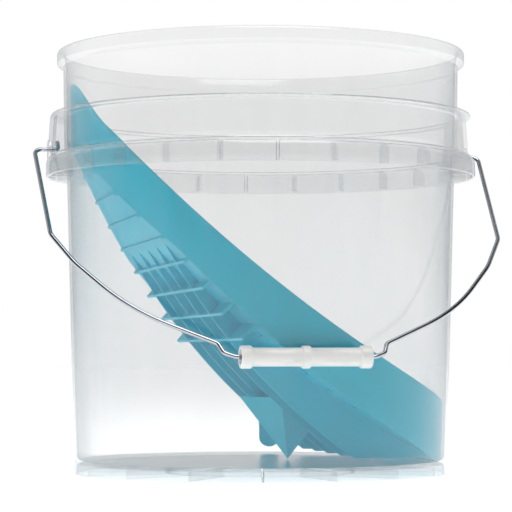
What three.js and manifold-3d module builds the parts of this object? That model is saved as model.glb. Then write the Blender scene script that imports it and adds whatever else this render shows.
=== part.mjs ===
// Wash bucket: a natural polypropylene pail with a wire bail, a hollow hand grip, and a wash ramp that lifts out.
// Millimetres. X runs from ear to ear, -Y is the front, +Z is up, and the origin is the middle of the foot ring's
// underside.
import * as THREE from "three";
import { mergeVertices } from "three/addons/utils/BufferGeometryUtils.js";
import Module from "manifold-3d";

const wasm = await Module();
wasm.setup();

// ---------------------------------------------------------------- driving dimensions

// pail
const pailHeight = 310.5;
const footRadius = 137;
const lowerDraft = Math.tan(THREE.MathUtils.degToRad(1.64));
const upperDraft = Math.tan(THREE.MathUtils.degToRad(0.86));
const wall = 2;
const floorTop = 10;
const floorThickness = 2.5;
const floorFillet = 4;
const footRingWall = 2;
const baseRibCount = 16;
const baseRibThickness = 1.6;
const baseRibRecess = 0.6;
const hubRingRadius = 70;

// rim, collar flange and carry ring: how far below the rim's top each is, and how far it stands out of the wall
const rimReach = 4.8;
const rimLipHeight = 13;
const collarDrop = 46.5;
const collarReach = 9.6;
const collarThickness = 2.5;
const ringDrop = 75.7;
const ringReach = 14.2;
const ringHeight = 17;
const ringWall = 2;
const ringShoulder = 8;
const wallStep = 1.6;
const gussetCount = 24;
const gussetThickness = 1.8;

// ears
const earWidth = 27;
const earWall = 2;
const earPlate = 2.5;
const earTopInset = 3.5;
const earFootInset = 0.5;
const earHoleRadius = 2.75;
const earBossRadius = 7;
const earBossHeight = 1.5;
const pivotRise = 1.9;

// bail and grip
const wireRadius = 1.6;
const bailDrop = 211.3;
const bailLegGap = 11.7;
const hookLength = 8.5;
const gripLength = 90.7;
const gripRadius = 6.4;
const gripFlangeRadius = 7.8;
const gripFlangeLength = 8;
const gripMiddleWidth = 5.6;
const gripWireGap = 0.6;
const gripEndBore = 5;
const gripEndDepth = 10;
const gripWallGap = 0.6;

// wash ramp
const rampWallGap = 2.5;
const rampRestGap = 0.3;
const rampPlate = 2.5;
const rampWall = 2;
const rampTopDrop = 72.5;
const rampRadius = 623;
const rampOverrun = 8; // how far the plate runs on past its head, before the round outline trims it
const rampToeInset = 18;
const guardTopDrop = 46;
const guardFootHeight = 40;
const guardRadius = 596;
const guardCurlX = -125;
const guardCurl = 0.05;
const ribThickness = 2;
const ribCount = 5;
const ribSpacing = 40;
const ribRadius = 445;
const ribStartX = -88;
const ribLandX = 51;
const ribFloorGap = 4;
const crossRibCount = 8;
const crossRibDepth = 2;
const crossRibReach = 80;
const flatDistance = 126;
const flatAngle = THREE.MathUtils.degToRad(29.4);
const ridgePitch = 21;
const ridgeRadius = 3;
const slotLength = 14;
const slotWidth = 4.5;
const slotStartX = -45;
const slotColumns = [-100, -60, -20, 20, 60, 100];
const keelX = 20.5;
const keelReach = 36;
const keelHeight = 46;
const keelTurn = THREE.MathUtils.degToRad(-20);
const fingerX = 34;
const fingerWidth = 15;
const fingerHeight = 50;

// facets
const turnFacets = 60;
const wireFacets = 8;
const gripFacets = 20;
const bendSteps = 4;
const joinDepth = 1; // how far a rib runs into the wall that it joins

// ---------------------------------------------------------------- sizes that follow from them

const ringTop = pailHeight - ringDrop;
const collarTop = pailHeight - collarDrop;
const rimStart = pailHeight - rimLipHeight;
const ringBottom = ringTop - ringHeight;
const stepStart = ringTop - 6;
const stepEnd = ringTop + 5;
const pivotHeight = ringTop + pivotRise;

// Outer radius of the pail's wall at a height: one draft below the carry ring, a step behind it, a finer draft above.
function wallRadius(z) {
  const below = footRadius + lowerDraft * Math.min(z, stepStart);
  const step = wallStep * THREE.MathUtils.clamp((z - stepStart) / (stepEnd - stepStart), 0, 1);
  return below + step + upperDraft * Math.max(z - stepStart, 0);
}

const ringRadius = wallRadius(ringTop) + ringReach;
const collarRadius = wallRadius(collarTop) + collarReach;
const rimRadius = wallRadius(rimStart) + rimReach;

// X of the ear's outer face at a height: it leans from the carry ring's foot in to the collar flange.
function earFace(z) {
  const foot = ringRadius - earFootInset;
  const top = ringRadius - earTopInset;
  return THREE.MathUtils.mapLinear(z, ringBottom, collarTop, foot, top);
}

const bailLegX = earFace(pivotHeight) + bailLegGap;
const hookX = earFace(pivotHeight) - earPlate - wireRadius - 2;

// The bail leans on the pail: the grip's thickest part stops short of the drafted wall.
const draftAngle = Math.atan(lowerDraft);
const gripReach = footRadius + lowerDraft * pivotHeight + gripFlangeRadius + gripWallGap;
const bailTilt = Math.asin((gripReach / bailDrop) * Math.cos(draftAngle)) - draftAngle;

// ---------------------------------------------------------------- solids

function solidOf(geometry) {
  const bare = geometry.index ? geometry.clone() : geometry;
  bare.deleteAttribute("normal");
  bare.deleteAttribute("uv");
  const merged = mergeVertices(bare, 1e-4);
  return new wasm.Manifold(
    new wasm.Mesh({
      numProp: 3,
      vertProperties: merged.attributes.position.array,
      triVerts: new Uint32Array(merged.index.array),
    }),
  );
}

function geometryOf(solid) {
  const mesh = solid.getMesh();
  return new THREE.BufferGeometry()
    .setAttribute("position", new THREE.BufferAttribute(mesh.vertProperties, 3))
    .setIndex(new THREE.BufferAttribute(mesh.triVerts, 1));
}

function join(solids) {
  return solids.reduce((all, next) => all.add(next));
}

// A body turned round Z from [radius, height] points, which run outwards along the bottom and back along the top.
function turnedGeometry(profile, facets = turnFacets) {
  const points = profile.map(([r, z]) => new THREE.Vector2(r, z));
  return new THREE.LatheGeometry(points, facets).rotateX(Math.PI / 2);
}

function turned(profile) {
  return solidOf(turnedGeometry(profile));
}

// A slab of an outline in the X-Z plane, centred on y.
function slab(outline, thickness, y = 0) {
  const shape = new THREE.Shape(outline.map(([x, z]) => new THREE.Vector2(x, z)));
  const geometry = new THREE.ExtrudeGeometry(shape, { depth: thickness, bevelEnabled: false });
  return geometry
    .translate(0, 0, -thickness / 2)
    .rotateX(Math.PI / 2)
    .translate(0, y, 0);
}

// Copies of one slab, spread evenly round Z from a first angle.
function spread(outline, thickness, count, firstAngle) {
  const copies = [];
  for (let i = 0; i < count; i += 1) {
    const angle = firstAngle + (i * 2 * Math.PI) / count;
    copies.push(solidOf(slab(outline, thickness).rotateZ(angle)));
  }
  return join(copies);
}

// Points of a circle's arc in a plane, ends included.
function arc(cx, cz, radius, from, to, steps) {
  const points = [];
  for (let i = 0; i <= steps; i += 1) {
    const angle = THREE.MathUtils.degToRad(from + ((to - from) * i) / steps);
    points.push([cx + radius * Math.cos(angle), cz + radius * Math.sin(angle)]);
  }
  return points;
}

// ---------------------------------------------------------------- pail

// The wall, floor, foot ring, carry ring, collar flange and rim are one turned moulding.
function pailProfile() {
  const inner = (z) => wallRadius(z) - wall;
  const shoulderX = ringRadius - ringShoulder;
  const shoulderZ = ringTop - ringShoulder;
  const lipX = rimRadius - 2.6;
  const lipZ = pailHeight - 2.6;
  const floorX = inner(floorTop) - floorFillet;
  return [
    [0, floorTop - floorThickness],
    [footRadius - footRingWall - 1, floorTop - floorThickness],
    [footRadius - footRingWall, floorTop - floorThickness - 1],
    [footRadius - footRingWall, 0],
    [footRadius, 0],
    [wallRadius(stepStart), stepStart],
    [wallRadius(ringTop - ringWall), ringTop - ringWall],
    ...arc(shoulderX, shoulderZ, ringShoulder - ringWall, 90, 0, 3),
    [ringRadius - ringWall, ringBottom],
    [ringRadius, ringBottom],
    ...arc(shoulderX, shoulderZ, ringShoulder, 0, 90, 4),
    [wallRadius(ringTop), ringTop],
    [wallRadius(stepEnd), stepEnd],
    [wallRadius(collarTop - collarThickness), collarTop - collarThickness],
    [collarRadius - 0.7, collarTop - collarThickness],
    [collarRadius, collarTop - collarThickness + 0.7],
    [collarRadius, collarTop - 0.7],
    [collarRadius - 0.7, collarTop],
    [wallRadius(collarTop), collarTop],
    [wallRadius(rimStart), rimStart],
    [rimRadius - 1, rimStart + 3.6],
    ...arc(lipX, lipZ, 2.6, 0, 90, 2),
    [inner(rimStart) + 2.4, pailHeight - 0.8],
    [inner(rimStart), rimStart + 1],
    [inner(stepEnd), stepEnd],
    [inner(stepStart), stepStart],
    ...arc(floorX, floorTop + floorFillet, floorFillet, 0, -90, 3),
    [0, floorTop],
  ];
}

// A web between the wall and the carry ring's skirt.
function gussetOutline() {
  const shoulder = ringShoulder - joinDepth;
  return [
    [wallRadius(ringBottom) - joinDepth, ringBottom + joinDepth],
    [ringRadius - joinDepth, ringBottom + joinDepth],
    ...arc(ringRadius - ringShoulder, ringTop - ringShoulder, shoulder, 0, 90, 2),
    [wallRadius(ringTop) - joinDepth, ringTop - joinDepth],
  ];
}

function baseRibOutline() {
  const top = floorTop - floorThickness + joinDepth;
  return [
    [hubRingRadius - joinDepth, baseRibRecess],
    [footRadius - joinDepth, baseRibRecess],
    [footRadius - joinDepth, top],
    [hubRingRadius - joinDepth, top],
  ];
}

function hubRing() {
  const top = floorTop - floorThickness + joinDepth;
  const inside = hubRingRadius - footRingWall;
  return turned([
    [inside, baseRibRecess],
    [hubRingRadius, baseRibRecess],
    [hubRingRadius, top],
    [inside, top],
    [inside, baseRibRecess],
  ]);
}

// The solid inside the wall's outer face, which an ear's pocket must leave alone.
function wallCore() {
  return turned([
    [0, ringBottom - 20],
    [wallRadius(ringBottom - 20), ringBottom - 20],
    [wallRadius(stepStart), stepStart],
    [wallRadius(stepEnd), stepEnd],
    [wallRadius(collarTop), collarTop],
    [0, collarTop],
  ]);
}

// An ear's outline between the wall and its leaning face, pulled in from the face by an inset.
function earOutline(inset, bottom, top) {
  return [
    [wallRadius(ringBottom) - wall / 2, bottom],
    [earFace(bottom) - inset, bottom],
    [earFace(top) - inset, top],
    [wallRadius(collarTop) - wall / 2, top],
  ];
}

function pivotCylinder(radius, from, to) {
  return new THREE.CylinderGeometry(radius, radius, to - from, 16)
    .rotateZ(Math.PI / 2)
    .translate((from + to) / 2, 0, pivotHeight);
}

// side is 1 for the ear at +X and -1 for the ear at -X.
function earParts(side) {
  const turn = side > 0 ? 0 : Math.PI;
  const face = earFace(pivotHeight);
  const underCollar = collarTop - collarThickness;
  const block = slab(earOutline(0, ringBottom, underCollar + joinDepth), earWidth);
  const boss = pivotCylinder(earBossRadius, face - earPlate, face + earBossHeight);
  const pocket = slab(earOutline(earPlate, ringBottom - 5, underCollar), earWidth - 2 * earWall);
  const hole = pivotCylinder(earHoleRadius, face - 2 * earPlate, face + 2 * earBossHeight);
  return {
    body: solidOf(block.rotateZ(turn)).add(solidOf(boss.rotateZ(turn))),
    pocket: solidOf(pocket.rotateZ(turn)).subtract(wallCore()),
    hole: solidOf(hole.rotateZ(turn)),
  };
}

function bucketShell() {
  const front = -Math.PI / 2;
  const gussets = spread(gussetOutline(), gussetThickness, gussetCount, front + Math.PI / gussetCount);
  const baseRibs = spread(baseRibOutline(), baseRibThickness, baseRibCount, front + Math.PI / baseRibCount);
  const ears = [earParts(1), earParts(-1)];
  let shell = join([turned(pailProfile()), gussets, baseRibs, hubRing()]);
  for (const ear of ears) {
    shell = shell.add(ear.body).subtract(ear.pocket).subtract(ear.hole);
  }
  return geometryOf(shell);
}

// ---------------------------------------------------------------- bail and grip

// A wire that is straight between bends: one section at each point, so bends get as many as they need.
class BentWire extends THREE.Curve {
  constructor(points) {
    super();
    this.points = points;
  }

  getPoint(t, target = new THREE.Vector3()) {
    const place = t * (this.points.length - 1);
    const index = Math.min(Math.floor(place), this.points.length - 2);
    return target.lerpVectors(this.points[index], this.points[index + 1], place - index);
  }

  getPointAt(t, target) {
    return this.getPoint(t, target);
  }

  getTangentAt(t, target) {
    return this.getTangent(t, target);
  }
}

// Replaces a corner by an arc of the given bend radius that meets both straights.
function bend(before, corner, after, radius) {
  const inward = before.clone().sub(corner).normalize();
  const outward = after.clone().sub(corner).normalize();
  const half = inward.angleTo(outward) / 2;
  const reach = radius / Math.tan(half);
  const middle = inward.clone().add(outward).normalize().multiplyScalar(radius / Math.sin(half)).add(corner);
  const first = inward.multiplyScalar(reach).add(corner).sub(middle);
  const last = outward.multiplyScalar(reach).add(corner).sub(middle);
  const turn = Math.PI - 2 * half;
  const points = [];
  for (let i = 0; i <= bendSteps; i += 1) {
    const share = i / bendSteps;
    const a = Math.sin((1 - share) * turn) / Math.sin(turn);
    const b = Math.sin(share * turn) / Math.sin(turn);
    points.push(middle.clone().addScaledVector(first, a).addScaledVector(last, b));
  }
  return points;
}

// Corners of one half of the bail, hung straight down from its pivots: [across, below the pivot, bend radius].
function bailCorners() {
  const gripEnd = gripLength / 2;
  return [
    [hookX, -hookLength, 0],
    [hookX, 0, 2.6],
    [bailLegX, 0, 5.5],
    [bailLegX - 4.8, bailDrop - 120, 14],
    [bailLegX - 19.4, bailDrop - 90.6, 60],
    [gripEnd + 69.4, bailDrop - 44.7, 140],
    [gripEnd + 13.4, bailDrop - 12.6, 5],
    [gripEnd + 10.5, bailDrop - 3.8, 4],
    [gripEnd + 3, bailDrop, 8],
    [0, bailDrop, 0],
  ];
}

function bailWire() {
  const corners = bailCorners();
  const at = corners.map(([across, below]) => new THREE.Vector3(across, 0, -below));
  const half = [at[0]];
  for (let i = 1; i < at.length - 1; i += 1) {
    half.push(...bend(at[i - 1], at[i], at[i + 1], corners[i][2]));
  }
  const mirrored = half.map((p) => new THREE.Vector3(-p.x, p.y, p.z)).reverse();
  const path = new BentWire([...half, ...mirrored]);
  const section = new THREE.Shape().absarc(0, 0, wireRadius, 0, 2 * Math.PI);
  return new THREE.ExtrudeGeometry(section, {
    extrudePath: path,
    steps: path.points.length - 1,
    curveSegments: wireFacets / 2,
  });
}

// A hollow hand grip with a flange at each end and one in the middle.
function handleGrip() {
  const end = gripLength / 2;
  const bore = wireRadius + gripWireGap;
  const flangeStart = end - gripFlangeLength;
  const middle = gripMiddleWidth / 2;
  const outside = [
    [gripEndBore, -end],
    [gripFlangeRadius - 0.8, -end],
    [gripFlangeRadius, -end + 0.8],
    [gripFlangeRadius, -flangeStart - 0.8],
    [gripRadius, -flangeStart + 0.4],
    [gripRadius, -middle - 0.6],
    [gripFlangeRadius, -middle + 0.4],
    [gripFlangeRadius, middle - 0.4],
    [gripRadius, middle + 0.6],
    [gripRadius, flangeStart - 0.4],
    [gripFlangeRadius, flangeStart + 0.8],
    [gripFlangeRadius, end - 0.8],
    [gripFlangeRadius - 0.8, end],
    [gripEndBore, end],
  ];
  const inside = [
    [bore, end - gripEndDepth],
    [bore, -end + gripEndDepth],
    [gripEndBore, -end],
  ];
  return turnedGeometry([...outside, ...inside], gripFacets).rotateY(Math.PI / 2);
}

// ---------------------------------------------------------------- wash ramp

// The ramp's own outer radius: in from the pail's inner face by a gap.
function rampReach(z) {
  return wallRadius(z) - wall - rampWallGap;
}

// The solid inside the ramp's round outline, clear of the floor's fillet.
function rampCone(inset) {
  const fillet = floorTop + floorFillet;
  return turned([
    [0, floorTop],
    [rampReach(floorTop) - inset - floorFillet / 2, floorTop],
    [rampReach(fillet) - inset, fillet],
    [rampReach(stepStart) - inset, stepStart],
    [rampReach(stepEnd) - inset, stepEnd],
    [rampReach(pailHeight) - inset, pailHeight],
    [0, pailHeight],
  ]);
}

// The solid between two flats that narrow the head of the plate, one each side of -X.
function flatsPrism() {
  const point = -flatDistance / Math.cos(flatAngle);
  const back = point + width * Math.tan(flatAngle);
  const shape = new THREE.Shape([
    new THREE.Vector2(point, 0),
    new THREE.Vector2(back, -width),
    new THREE.Vector2(width, -width),
    new THREE.Vector2(width, width),
    new THREE.Vector2(back, width),
  ]);
  return solidOf(new THREE.ExtrudeGeometry(shape, { depth: pailHeight, bevelEnabled: false }));
}

// Centre of the arc that sags between two points, on the side above it.
function sagCentre([x0, z0], [x1, z1], radius) {
  const chord = Math.hypot(x1 - x0, z1 - z0);
  const rise = Math.sqrt(radius * radius - (chord * chord) / 4);
  return [(x0 + x1) / 2 + (rise * (z0 - z1)) / chord, (z0 + z1) / 2 + (rise * (x1 - x0)) / chord];
}

// Points along such an arc, pushed away from its centre by a depth.
function sag(start, end, radius, depth = 0, steps = 14) {
  const [cx, cz] = sagCentre(start, end, radius);
  const toDeg = THREE.MathUtils.radToDeg;
  const from = toDeg(Math.atan2(start[1] - cz, start[0] - cx));
  const to = toDeg(Math.atan2(end[1] - cz, end[0] - cx));
  return arc(cx, cz, radius + depth, from, to, steps);
}

const rampHead = [-footRadius, pailHeight - rampTopDrop];
const rampToe = [footRadius - wall - rampToeInset, floorTop + rampRestGap + rampPlate];
const guardHead = [-footRadius, pailHeight - guardTopDrop];
const guardFoot = [footRadius, floorTop + guardFootHeight];
const width = 2 * ringRadius;

function plateOutline() {
  const toeBottom = rampToe[1] - rampPlate;
  const start = rampHead[0] - rampOverrun;
  const under = sag(rampHead, rampToe, rampRadius, rampPlate).reverse();
  const landed = under.filter(([, z]) => z > toeBottom);
  return [
    [start, sagHeight(rampHead, rampToe, rampRadius, start)],
    ...sag(rampHead, rampToe, rampRadius),
    [footRadius, rampToe[1]],
    [footRadius, toeBottom],
    [rampToe[0] - rampPlate, toeBottom],
    ...landed,
    [start, sagHeight(rampHead, rampToe, rampRadius, start, rampPlate)],
  ];
}

// Height of a sagging arc at an X, pushed below the arc by a depth.
function sagHeight(start, end, radius, x, depth = 0) {
  const [cx, cz] = sagCentre(start, end, radius);
  const reach = radius + depth;
  return cz - Math.sqrt(reach * reach - (x - cx) * (x - cx));
}

// Distance from the axis to the plate's edge in a direction: the nearer of the round outline and a flat.
function plateReach(angle, z) {
  const off = Math.abs(Math.PI - Math.abs(angle)) - flatAngle;
  const flat = Math.cos(off) > 0.1 ? flatDistance / Math.cos(off) : Infinity;
  return Math.min(rampReach(z), flat);
}

// Height of the guard's upper edge at an X: it sags, and curls up again behind the plate's head.
function guardHeight(x) {
  const past = Math.max(0, guardCurlX - x);
  return sagHeight(guardHead, guardFoot, guardRadius, x) + guardCurl * past * past;
}

// One closed loop of the guard's lower or upper edge, set in from its outer face.
function guardLoop(upper, inset) {
  const loop = [];
  for (let i = 0; i < turnFacets; i += 1) {
    const angle = (i * 2 * Math.PI) / turnFacets - Math.PI;
    let x = rampReach(0) * Math.cos(angle);
    let z = 0;
    for (let pass = 0; pass < 4; pass += 1) {
      z = upper
        ? guardHeight(x)
        : Math.max(sagHeight(rampHead, rampToe, rampRadius, x), rampToe[1]) - rampPlate / 2;
      x = (upper ? rampReach(z) : plateReach(angle, z)) * Math.cos(angle);
    }
    const reach = (upper ? rampReach(z) : plateReach(angle, z)) - inset;
    loop.push([reach * Math.cos(angle), reach * Math.sin(angle), z]);
  }
  return loop;
}

// The guard is a wall round the ramp's edge, from the plate's outline up to a flatter arc on the pail's draft.
function guard() {
  const lower = [guardLoop(false, rampWall), guardLoop(false, 0)];
  const loops = [...lower, guardLoop(true, 0), guardLoop(true, rampWall)];
  const index = [];
  for (let ring = 0; ring < loops.length; ring += 1) {
    for (let i = 0; i < turnFacets; i += 1) {
      const next = (i + 1) % turnFacets;
      const low = ring * turnFacets;
      const high = ((ring + 1) % loops.length) * turnFacets;
      index.push(low + i, low + next, high + next, low + i, high + next, high + i);
    }
  }
  const geometry = new THREE.BufferGeometry();
  geometry.setAttribute("position", new THREE.Float32BufferAttribute(loops.flat(2), 3));
  return solidOf(geometry.setIndex(index));
}

// A lengthwise rib fills the space from the plate down to its own arc, which lands just over the floor.
function ribOutline() {
  const landing = floorTop + ribFloorGap;
  const plate = sag(rampHead, rampToe, rampRadius, rampPlate / 2);
  const upper = plate.filter(([x, z]) => x > ribStartX && z > landing + joinDepth);
  const start = [ribStartX, platePoint(ribStartX)[1]];
  const lower = sag(start, [ribLandX, landing], ribRadius, 0, 8).reverse();
  return [start, ...upper, [upper.at(-1)[0], landing], ...lower];
}

function lengthRibs() {
  const ribs = [];
  for (let i = 0; i < ribCount; i += 1) {
    ribs.push(solidOf(slab(ribOutline(), ribThickness, (i - (ribCount - 1) / 2) * ribSpacing)));
  }
  return ribs;
}

// The plate's middle surface at an X.
function platePoint(x) {
  return [x, sagHeight(rampHead, rampToe, rampRadius, x, rampPlate / 2)];
}

// Places across the ramp, a ridge pitch apart down the slope: x, z and the lean of the plate there.
function stations() {
  const [cx, cz] = sagCentre(rampHead, rampToe, rampRadius);
  const from = Math.atan2(rampHead[1] - cz, rampHead[0] - cx);
  const to = Math.atan2(rampToe[1] - cz, rampToe[0] - cx);
  const pitch = ridgePitch / rampRadius;
  const places = [];
  for (let angle = from + pitch; angle < to - pitch; angle += pitch) {
    const x = cx + rampRadius * Math.cos(angle);
    const z = cz + rampRadius * Math.sin(angle);
    places.push({ x, z, lean: -angle - Math.PI / 2, next: angle + pitch / 2 });
  }
  return places;
}

function ridges() {
  return stations().map(({ x, z }) => {
    const bar = new THREE.CylinderGeometry(ridgeRadius, ridgeRadius, width, 8);
    return solidOf(bar.translate(x, 0, z));
  });
}

// Cross ribs reach down to the lengthwise ribs' lower edge, or a little way where that edge is still in the plate.
function crossRibs() {
  const shallow = [
    ...sag(rampHead, rampToe, rampRadius, rampPlate / 2),
    ...sag(rampHead, rampToe, rampRadius, rampPlate + crossRibDepth).reverse(),
  ];
  const depths = solidOf(slab(ribOutline(), width)).add(solidOf(slab(shallow, width)));
  const bars = stations()
    .slice(0, crossRibCount)
    .map(({ x, z, lean }) => {
      const bar = new THREE.BoxGeometry(ribThickness, width, crossRibReach);
      return solidOf(bar.translate(0, 0, -crossRibReach / 2).rotateY(lean).translate(x, 0, z));
    });
  return join(bars).intersect(depths);
}

// Drain slots half-way between ridges, wherever the plate is wide enough to hold one clear of its edge.
function slots() {
  const [cx, cz] = sagCentre(rampHead, rampToe, rampRadius);
  const clear = 2 * slotWidth;
  const cuts = [];
  for (const { lean, next } of stations().filter((place) => place.x > slotStartX)) {
    const x = cx + rampRadius * Math.cos(next);
    const z = cz + rampRadius * Math.sin(next);
    for (const y of slotColumns) {
      const end = Math.abs(y) + slotLength / 2;
      if (Math.hypot(x, end) > plateReach(Math.atan2(end, x), z) - clear) continue;
      const cut = new THREE.BoxGeometry(slotWidth, slotLength, 4 * rampPlate);
      cuts.push(solidOf(cut.rotateY(lean).translate(x, y, z)));
    }
  }
  return join(cuts);
}

// A four-sided point under the ramp, which stands on the floor and ends in the plate.
function keel() {
  const foot = floorTop + rampRestGap;
  const point = new THREE.ConeGeometry(keelReach, keelHeight, 4)
    .rotateX(-Math.PI / 2)
    .rotateZ(keelTurn)
    .translate(keelX, 0, foot + keelHeight / 2);
  const plate = sag(rampHead, rampToe, rampRadius, rampPlate / 2);
  const under = slab([...plate, [footRadius, 0], [-footRadius, 0]], width);
  return solidOf(point).intersect(solidOf(under));
}

// A tongue of the guard, at the back, that reaches down beside the plate to steady the ramp.
function fingerOutline() {
  const half = fingerWidth / 2;
  const low = floorTop + ribFloorGap + half;
  return [
    [fingerX + half, low + fingerHeight],
    [fingerX - half, low + fingerHeight],
    ...arc(fingerX, low, half, 180, 360, 8),
  ];
}

function washRamp() {
  const shell = rampCone(0).subtract(rampCone(rampWall));
  const finger = solidOf(slab(fingerOutline(), ringRadius, ringRadius / 2)).intersect(shell);
  const plate = solidOf(slab(plateOutline(), width));
  const inside = join([plate, ...lengthRibs(), crossRibs(), ...ridges(), keel()]);
  const body = inside.intersect(rampCone(0)).intersect(flatsPrism()).subtract(slots());
  return geometryOf(join([body, finger, guard()]));
}

// ---------------------------------------------------------------- scene

function part(name, geometry, look) {
  const mesh = new THREE.Mesh(geometry, new THREE.MeshStandardMaterial(look));
  mesh.name = name;
  return mesh;
}

const naturalPlastic = { color: 0xdde2e6, roughness: 0.35, transparent: true, opacity: 0.4 };
const platedSteel = { color: 0xc8ccd2, roughness: 0.18, metalness: 1 };
const whitePlastic = { color: 0xf2f2ef, roughness: 0.4 };
const tealPlastic = { color: 0x4ea6ba, roughness: 0.45 };

const group = new THREE.Group();
group.add(part("bucket_shell", bucketShell(), naturalPlastic));
group.add(part("wash_ramp", washRamp(), tealPlastic));

const bail = new THREE.Group();
bail.position.z = pivotHeight;
bail.rotation.x = -bailTilt;
bail.add(part("bail_wire", bailWire(), platedSteel));
const grip = part("handle_grip", handleGrip(), whitePlastic);
grip.position.z = -bailDrop;
bail.add(grip);
group.add(bail);

export default group;
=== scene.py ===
"""Looks of a wash bucket: a natural polypropylene pail, a lift-out wash ramp, a wire bail and its hand grip.

Shapes are worked out in millimetres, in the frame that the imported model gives, and turned to metres
as each piece is finished.
"""

import logging
import math
from dataclasses import dataclass
from enum import Enum
from typing import Any, Callable, Iterable, Sequence

import bmesh
import bpy
from mathutils import Matrix, Vector


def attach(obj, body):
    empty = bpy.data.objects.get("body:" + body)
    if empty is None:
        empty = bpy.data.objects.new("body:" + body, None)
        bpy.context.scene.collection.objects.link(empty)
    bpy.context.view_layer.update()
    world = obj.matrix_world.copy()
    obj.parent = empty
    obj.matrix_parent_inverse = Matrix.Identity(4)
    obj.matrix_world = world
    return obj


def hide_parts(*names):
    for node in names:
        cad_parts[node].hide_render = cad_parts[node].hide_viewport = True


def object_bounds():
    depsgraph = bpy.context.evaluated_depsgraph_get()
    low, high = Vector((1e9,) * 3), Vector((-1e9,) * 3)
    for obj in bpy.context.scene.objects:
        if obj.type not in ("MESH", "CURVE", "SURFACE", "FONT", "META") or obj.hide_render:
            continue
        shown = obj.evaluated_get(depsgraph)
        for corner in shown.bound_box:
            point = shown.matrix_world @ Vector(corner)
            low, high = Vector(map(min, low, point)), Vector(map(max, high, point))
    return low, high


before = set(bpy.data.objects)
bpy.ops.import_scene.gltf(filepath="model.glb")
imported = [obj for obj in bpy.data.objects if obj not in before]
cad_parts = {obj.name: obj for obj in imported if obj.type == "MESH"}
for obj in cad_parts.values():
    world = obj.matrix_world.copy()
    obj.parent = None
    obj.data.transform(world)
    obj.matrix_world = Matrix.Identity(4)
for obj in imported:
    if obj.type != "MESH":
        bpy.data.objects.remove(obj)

CAD_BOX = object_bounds()
MM = 0.001
TURN_STEPS = 192
WELD = 1e-3

log = logging.getLogger("wash_bucket")

Point = tuple[float, float]


class Boolean(Enum):
    """How one solid changes another."""

    JOIN = "UNION"
    CUT = "DIFFERENCE"
    KEEP = "INTERSECT"


# ---------------------------------------------------------------- geometry helpers


def draft(degrees: float) -> float:
    """Slope of a wall that leans out by an angle."""
    return math.tan(math.radians(degrees))


def arc(cx: float, cz: float, radius: float, start: float, end: float, steps: int) -> list[Point]:
    """Points of a circle's arc in a plane, ends included.

    Args:
        cx, cz: The circle's centre.
        radius: Its radius.
        start, end: Angles in degrees.
        steps: How many chords stand for the arc.

    Returns:
        The points, in order.
    """
    angles = [math.radians(start + (end - start) * i / steps) for i in range(steps + 1)]
    return [(cx + radius * math.cos(a), cz + radius * math.sin(a)) for a in angles]


@dataclass(frozen=True)
class Sag:
    """A circle's arc that sags between two points, seen from the side."""

    start: Point
    end: Point
    radius: float

    def centre(self) -> Point:
        """The arc's centre, above it."""
        (x0, z0), (x1, z1) = self.start, self.end
        chord = math.hypot(x1 - x0, z1 - z0)
        rise = math.sqrt(self.radius**2 - chord**2 / 4)
        return (x0 + x1) / 2 + rise * (z0 - z1) / chord, (z0 + z1) / 2 + rise * (x1 - x0) / chord

    def height(self, x: float, depth: float = 0) -> float:
        """Height of the arc at an X, pushed below it by a depth."""
        cx, cz = self.centre()
        return cz - math.sqrt((self.radius + depth) ** 2 - (x - cx) ** 2)

    def points(self, depth: float = 0, steps: int = 48) -> list[Point]:
        """Points along the arc, pushed away from its centre by a depth."""
        cx, cz = self.centre()
        start = math.degrees(math.atan2(self.start[1] - cz, self.start[0] - cx))
        end = math.degrees(math.atan2(self.end[1] - cz, self.end[0] - cx))
        return arc(cx, cz, self.radius + depth, start, end, steps)


def cleaned(bm: bmesh.types.BMesh) -> bmesh.types.BMesh:
    """Merges a mesh's doubles and turns its faces outwards."""
    bmesh.ops.remove_doubles(bm, verts=bm.verts, dist=WELD)
    bmesh.ops.recalc_face_normals(bm, faces=bm.faces)
    return bm


def turned(profile: Sequence[Point], closed: bool = False, steps: int = TURN_STEPS) -> bmesh.types.BMesh:
    """A body turned round Z.

    Args:
        profile: [radius, height] points, from axis to axis, or round a ring's section.
        closed: Whether the last point joins the first.
        steps: How many faces go round.

    Returns:
        A closed mesh.
    """
    bm = bmesh.new()
    verts = [bm.verts.new((r, 0, z)) for r, z in profile]
    following = verts[1:] + verts[:1] if closed else verts[1:]
    edges = [bm.edges.new(pair) for pair in zip(verts, following)]
    bmesh.ops.spin(
        bm, geom=verts + edges, cent=(0, 0, 0), axis=(0, 0, 1), dvec=(0, 0, 0),
        angle=2 * math.pi, steps=steps, use_merge=True,
    )
    return cleaned(bm)


def slab(outline: Sequence[Point], thickness: float, y: float = 0) -> bmesh.types.BMesh:
    """A flat plate with an outline in the X-Z plane, centred on y."""
    bm = bmesh.new()
    face = bm.faces.new([bm.verts.new((x, y - thickness / 2, z)) for x, z in outline])
    grown = bmesh.ops.extrude_face_region(bm, geom=[face])["geom"]
    moved = [part for part in grown if isinstance(part, bmesh.types.BMVert)]
    bmesh.ops.translate(bm, verts=moved, vec=(0, thickness, 0))
    return cleaned(bm)


def block(size: Sequence[float], place: Matrix) -> bmesh.types.BMesh:
    """A box of a size, put in its place by a matrix."""
    bm = bmesh.new()
    bmesh.ops.create_cube(bm, size=1, matrix=place @ Matrix.Diagonal((*size, 1)))
    return bm


def rod(radius: float, length: float, place: Matrix, sides: int = 32) -> bmesh.types.BMesh:
    """A round rod along its own Z, put in its place by a matrix."""
    bm = bmesh.new()
    bmesh.ops.create_cone(
        bm, cap_ends=True, segments=sides, radius1=radius, radius2=radius, depth=length, matrix=place
    )
    return bm


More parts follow.
